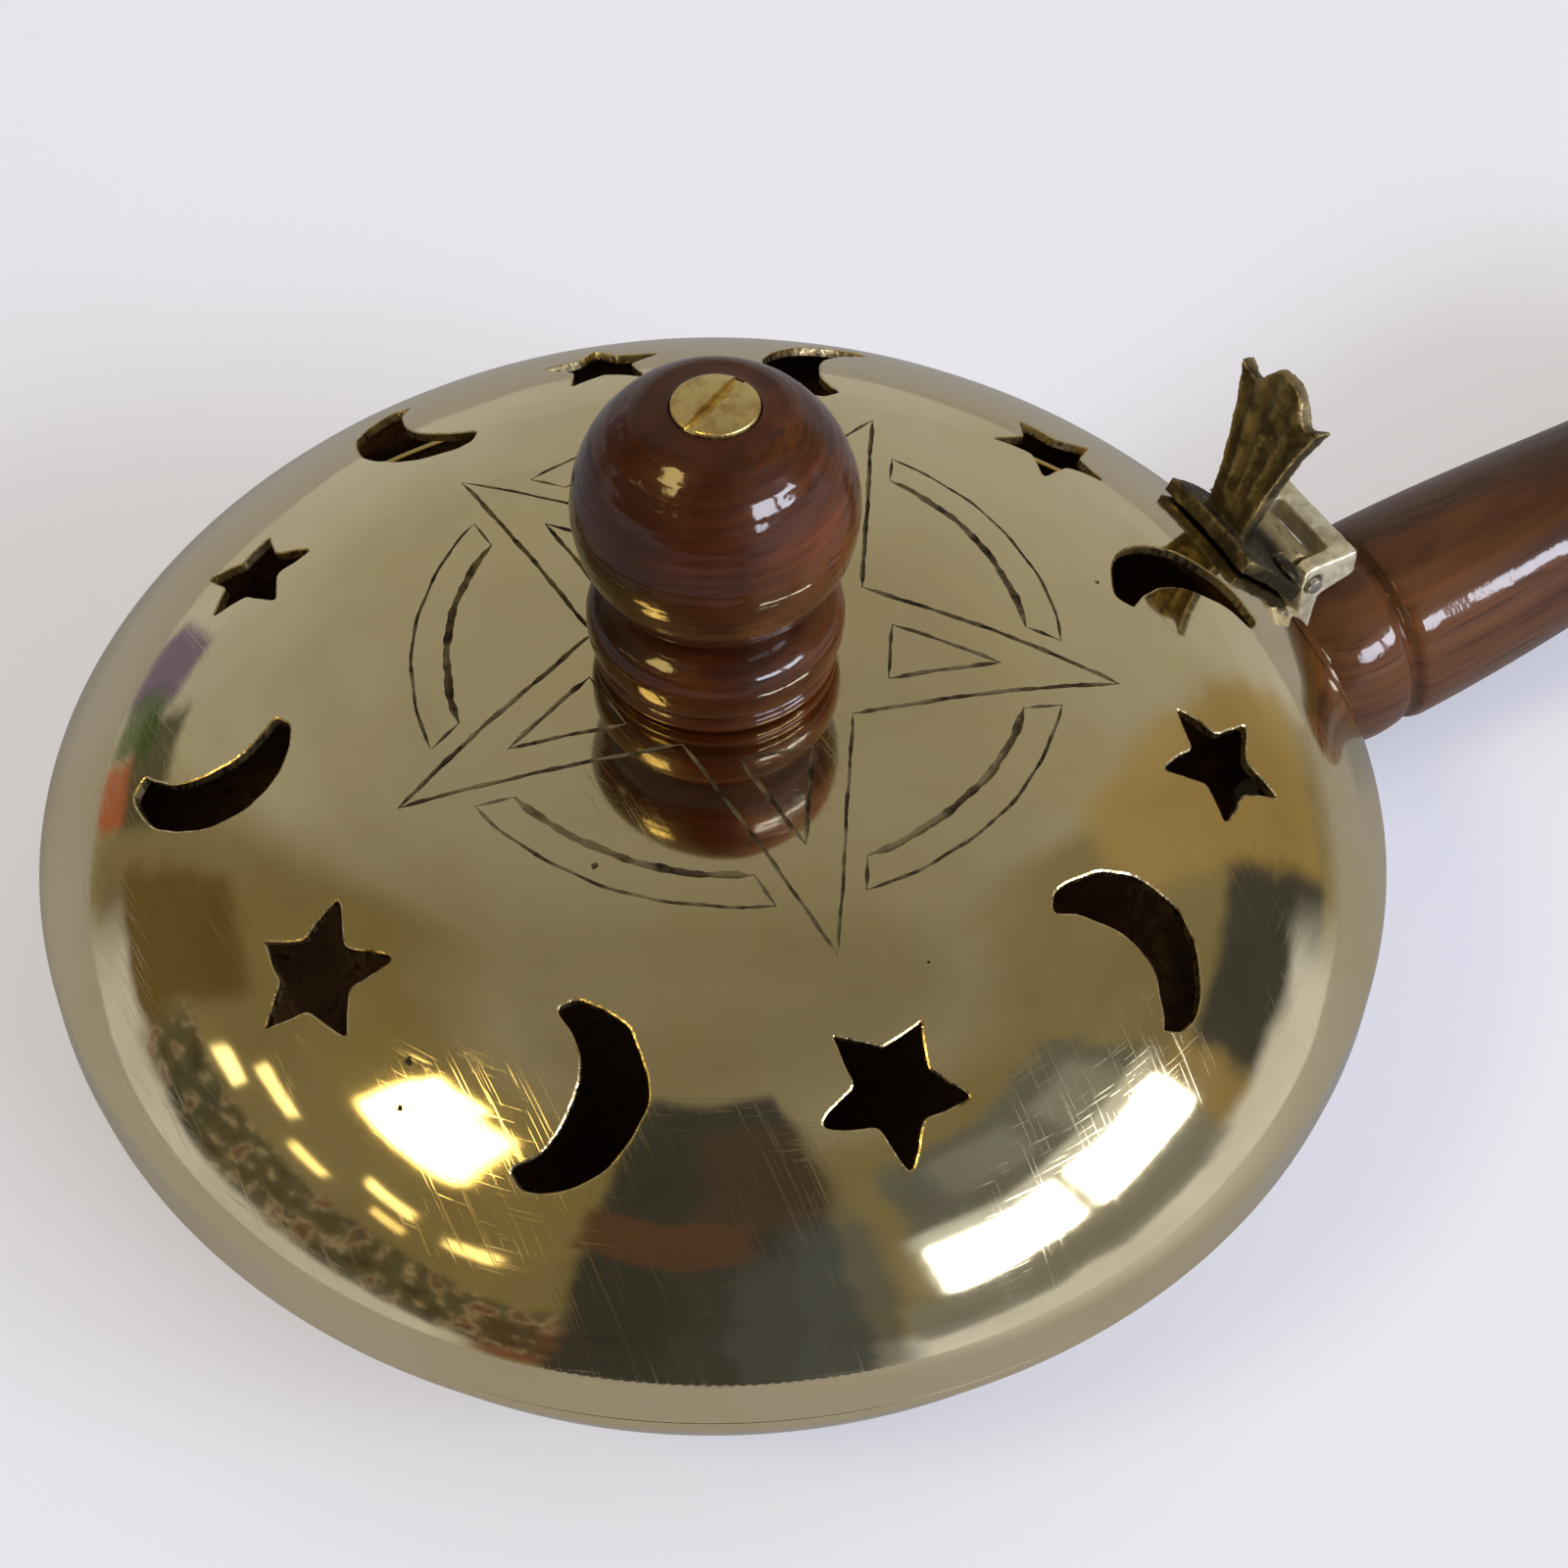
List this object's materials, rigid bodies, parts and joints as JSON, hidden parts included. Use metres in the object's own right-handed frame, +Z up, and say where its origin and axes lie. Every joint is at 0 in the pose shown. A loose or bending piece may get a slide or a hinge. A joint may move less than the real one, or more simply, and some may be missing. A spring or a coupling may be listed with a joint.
{
  "type": "thurible censer",
  "caption": "Round brass hand censer: bowl, domed lid pierced with stars and crescent moons, hinged on a cast bracket with a thumb lever, turned wooden knob and side handle.",
  "frame": {"origin": "centre of the bowl's flat underside", "axes": "+Z up along the bowl's axis, +X out along the handle, +Y completes the frame and runs along the hinge pin"},
  "size_m": [0.2841, 0.1484, 0.0952],
  "materials": {
    "polished_brass": "hand-polished, fine scratches",
    "cast_brass": "rough sand-cast, dark patina",
    "varnished_wood": "turned hardwood, glossy varnish",
    "dull_steel": "plain, slightly tarnished"
  },
  "bodies": {
    "base": {"bowl": "polished_brass", "hinge_bracket": "cast_brass", "hinge_pin": "dull_steel", "bracket_rivet_1": "cast_brass", "bracket_rivet_2": "cast_brass", "handle_tang": "dull_steel", "handle": "varnished_wood", "handle_nail": "dull_steel"},
    "lid_group": {"lid": "polished_brass", "lid_knob": "varnished_wood", "knob_screw": "polished_brass", "knob_washer": "polished_brass", "knob_nut": "polished_brass", "thumb_lever": "cast_brass", "lever_rivet_1": "cast_brass", "lever_rivet_2": "cast_brass"}
  },
  "joints": [
    {"name": "lid_hinge", "type": "hinge", "parent": "base", "child": "lid_group", "pos_m": [0.0761, 0, 0.0389], "axis": [0, 1, 0], "range_deg": [0, 72]}
  ]
}
